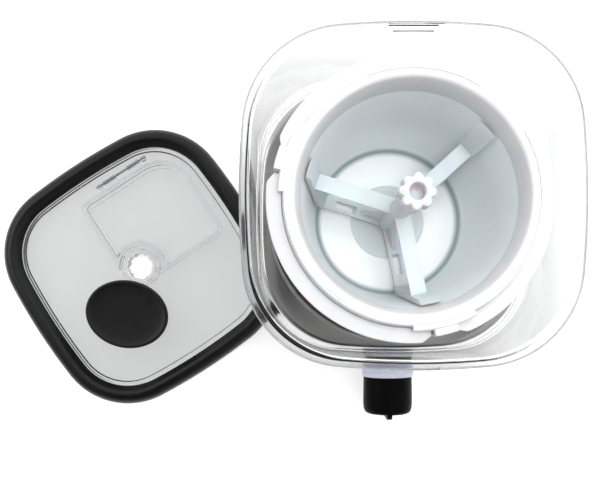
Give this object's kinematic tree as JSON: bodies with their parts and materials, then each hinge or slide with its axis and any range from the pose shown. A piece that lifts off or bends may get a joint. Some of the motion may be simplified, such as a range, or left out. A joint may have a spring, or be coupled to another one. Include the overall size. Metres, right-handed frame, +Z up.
{
  "type": "ice cream maker",
  "caption": "Ice cream maker with a rotating freezer bowl in a clear case, a steel skirted base with a knob, a dasher, and a square clear lid with a filling flap lying beside it.",
  "frame": {"origin": "middle of the base, on the plane its feet stand on", "axes": "+Z up; the knob is on the front, towards -Y; the lid lies on the same plane towards -X"},
  "size_m": [0.4283, 0.2664, 0.247],
  "materials": {
    "rubber_feet": "matt moulded rubber",
    "black_plastic": "fine-textured moulded plastic",
    "dark_plastic": "fine-textured moulded plastic",
    "zinc": "plated steel",
    "brushed_steel": "brushed sideways round the body",
    "clear_plastic": "clear moulded plastic",
    "motor_can": "drawn can, satin",
    "brass": "turned",
    "gear_plastic": "natural acetal",
    "pale_collar": "pale blue-grey moulded plastic",
    "black_knob": "fine-textured black plastic",
    "white_plastic": "white moulded plastic, satin",
    "coolant": "sealed freezing mix",
    "liner": "drawn aluminium, satin, turned floor",
    "milky_plastic": "milky white moulded plastic",
    "soft_black": "soft-touch black"
  },
  "bodies": {
    "base": {"feet": "rubber_feet", "base_pan": "black_plastic", "pan_screws": "zinc", "side_housing": "dark_plastic", "deck_frame": "dark_plastic", "steel_skirt": "brushed_steel", "bowl_well": "dark_plastic", "clear_case": "clear_plastic", "motor": "motor_can", "motor_bracket": "zinc", "motor_screws": "zinc", "idler_pin": "zinc", "lower_bush": "brass", "upper_bush": "brass", "rotary_switch": "black_plastic", "switch_nut": "zinc", "knob_collar": "pale_collar", "cord_gland": "rubber_feet"},
    "rotor": {"motor_shaft": "zinc", "motor_pinion": "brass"},
    "idler": {"idler_gear": "gear_plastic"},
    "drive": {"output_shaft": "zinc", "output_gear": "gear_plastic", "drive_coupling": "black_plastic"},
    "bowl": {"bowl_coupling": "dark_plastic", "bowl_shell": "white_plastic", "coolant": "coolant", "bowl_liner": "liner", "bowl_flange": "white_plastic", "bowl_rim": "white_plastic"},
    "dasher": {"dasher": "milky_plastic"},
    "control": {"knob_shaft": "zinc", "knob": "black_knob"},
    "lid": {"lid_frame": "soft_black", "lid_panel": "clear_plastic", "lid_socket": "clear_plastic", "lid_knob": "soft_black", "lid_knob_screw": "zinc", "hinge_pin": "zinc"},
    "flap": {"lid_flap": "clear_plastic"}
  },
  "joints": [
    {"name": "bowl_spin", "type": "hinge", "parent": "base", "child": "drive", "pos_m": [0, 0, 0.05], "axis": [0, 0, 1], "continuous": true},
    {"name": "idler_spin", "type": "hinge", "parent": "base", "child": "idler", "pos_m": [-0.01847, 0.05074, 0.035], "axis": [0, 0, 1], "continuous": true},
    {"name": "motor_spin", "type": "hinge", "parent": "base", "child": "rotor", "pos_m": [-0.04919, 0.02923, 0.035], "axis": [0, 0, 1], "continuous": true},
    {"name": "bowl_lift", "type": "slide", "parent": "drive", "child": "bowl", "axis": [0, 0, 1], "range_m": [0, 0.18]},
    {"name": "dasher_turn", "type": "hinge", "parent": "bowl", "child": "dasher", "pos_m": [0, 0, 0.15], "axis": [0, 0, 1], "continuous": true},
    {"name": "knob_turn", "type": "hinge", "parent": "base", "child": "control", "pos_m": [0, -0.13, 0.076], "axis": [0, 1, 0], "range_deg": [0, 90]},
    {"name": "lid_slide", "type": "slide", "parent": "base", "child": "lid", "axis": [-1, 0, 0], "range_m": [0, 0.12]},
    {"name": "flap_open", "type": "hinge", "parent": "lid", "child": "flap", "pos_m": [-0.22278, 0.04892, 0.0127], "axis": [-0.8387, -0.5446, 0], "range_deg": [0, 100]}
  ],
  "couplings": [
    {"joint": "idler_spin", "follows": "bowl_spin", "ratio": -4.1429},
    {"joint": "motor_spin", "follows": "bowl_spin", "ratio": 16.571},
    {"joint": "dasher_turn", "follows": "bowl_spin", "ratio": -1}
  ]
}
